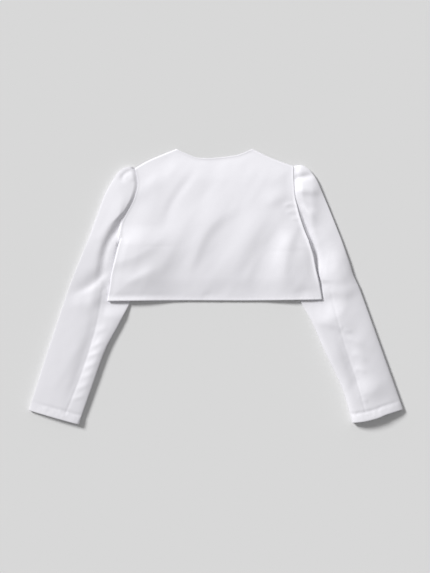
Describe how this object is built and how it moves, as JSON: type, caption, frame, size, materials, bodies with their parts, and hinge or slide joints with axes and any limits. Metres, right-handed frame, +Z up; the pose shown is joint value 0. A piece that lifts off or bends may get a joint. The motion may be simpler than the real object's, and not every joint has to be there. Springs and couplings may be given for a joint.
{
  "type": "open-front cropped jacket (bolero), laid flat back up",
  "caption": "Child's cropped open-front satin jacket with long sleeves gathered at the shoulder, laid flat with its back up and its sleeves spread.",
  "frame": {"origin": "middle of the laid garment's length and width, on the surface it lies on", "axes": "+X across the back towards the wearer's right sleeve, +Y from the hem to the neck, +Z up from the surface"},
  "size_m": [0.6596, 0.4852, 0.0166],
  "materials": {
    "satin": "smooth white satin with a soft sheen"
  },
  "bodies": {
    "root": {"back_panel": "satin", "front_left": "satin", "front_right": "satin", "sleeve_left": "satin", "sleeve_right": "satin"}
  },
  "joints": []
}
